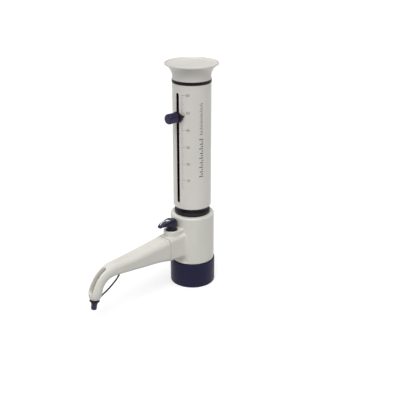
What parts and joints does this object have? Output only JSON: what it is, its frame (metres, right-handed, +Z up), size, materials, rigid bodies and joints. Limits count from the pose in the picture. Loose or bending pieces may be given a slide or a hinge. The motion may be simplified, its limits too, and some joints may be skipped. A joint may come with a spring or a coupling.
{
  "type": "bottle-top piston dispenser",
  "caption": "Bottle-top piston dispenser: tall lifting sleeve with a set-volume pointer, valve base on a threaded collar, and a curved discharge arm with a stopcock lever and tethered stopper.",
  "frame": {"origin": "centre of the threaded collar's open mouth, on the plane it stands on", "axes": "+Z up along the piston and sleeve; the discharge arm points along -Y; the volume scale faces +X of -Y"},
  "size_m": [0.061, 0.1861, 0.2677],
  "materials": {
    "white_plastic": "satin moulded off-white plastic",
    "body_plastic": "satin moulded off-white plastic with soft blended corners",
    "navy_plastic": "fine-grained dark navy plastic",
    "pointer_plastic": "dark maroon-black plastic",
    "black_plastic": "black plastic",
    "fluoropolymer": "waxy white fluoropolymer",
    "borosilicate_glass": "clear borosilicate",
    "seal_rubber": "black elastomer",
    "stainless_steel": "turned stainless steel"
  },
  "bodies": {
    "base": {"valve_block": "fluoropolymer", "intake_nipple": "fluoropolymer", "bottle_gasket": "seal_rubber", "inlet_valve_seat": "fluoropolymer", "valve_housing": "body_plastic", "glass_cylinder": "borosilicate_glass", "cylinder_gasket": "seal_rubber", "guide_tube": "black_plastic", "neck_ring": "black_plastic", "stopcock_body": "fluoropolymer", "outlet_plug": "fluoropolymer", "gland_nut": "black_plastic", "discharge_arm": "body_plastic", "discharge_tube": "fluoropolymer", "nozzle_tip": "fluoropolymer", "tether_anchor": "seal_rubber", "tether": "seal_rubber"},
    "collar": {"threaded_collar": "navy_plastic"},
    "plunger": {"sleeve": "white_plastic", "top_band": "black_plastic", "top_cap": "white_plastic", "guide_bush": "black_plastic", "piston_rod": "fluoropolymer", "piston_head": "fluoropolymer", "piston_seal": "seal_rubber", "piston_stud": "stainless_steel"},
    "volume_setter": {"volume_pointer": "pointer_plastic", "clamp_nut": "stainless_steel"},
    "knob": {"volume_knob": "navy_plastic", "knob_stem": "stainless_steel"},
    "lever": {"valve_lever": "navy_plastic", "valve_spindle": "fluoropolymer", "spindle_seals": "seal_rubber"},
    "stopper": {"closure_cap": "navy_plastic", "cap_ring": "black_plastic"},
    "inlet_ball": {"inlet_ball": "borosilicate_glass"},
    "outlet_ball": {"outlet_ball": "borosilicate_glass"}
  },
  "joints": [
    {"name": "collar_spin", "type": "hinge", "parent": "base", "child": "collar", "pos_m": [0, 0, 0], "axis": [0, 0, 1], "continuous": true},
    {"name": "sleeve_lift", "type": "slide", "parent": "base", "child": "plunger", "axis": [0, 0, 1], "range_m": [0, 0.0971]},
    {"name": "volume_slide", "type": "slide", "parent": "base", "child": "volume_setter", "axis": [0, 0, 1], "range_m": [0, 0.0215]},
    {"name": "volume_knob_turn", "type": "hinge", "parent": "volume_setter", "child": "knob", "pos_m": [0, -0.0252, 0.20965], "axis": [0, -1, 0], "range_deg": [0, 180]},
    {"name": "lever_turn", "type": "hinge", "parent": "base", "child": "lever", "pos_m": [0, -0.0338, 0.077], "axis": [0, 0, 1], "range_deg": [0, 90]},
    {"name": "stopper_pull", "type": "slide", "parent": "base", "child": "stopper", "axis": [0, -0.1736, -0.9848], "range_m": [0, 0.012]},
    {"name": "inlet_ball_lift", "type": "slide", "parent": "base", "child": "inlet_ball", "axis": [0, 0, 1], "range_m": [0, 0.0015]},
    {"name": "outlet_ball_lift", "type": "slide", "parent": "base", "child": "outlet_ball", "axis": [0, 0, 1], "range_m": [0, 0.0015]}
  ]
}
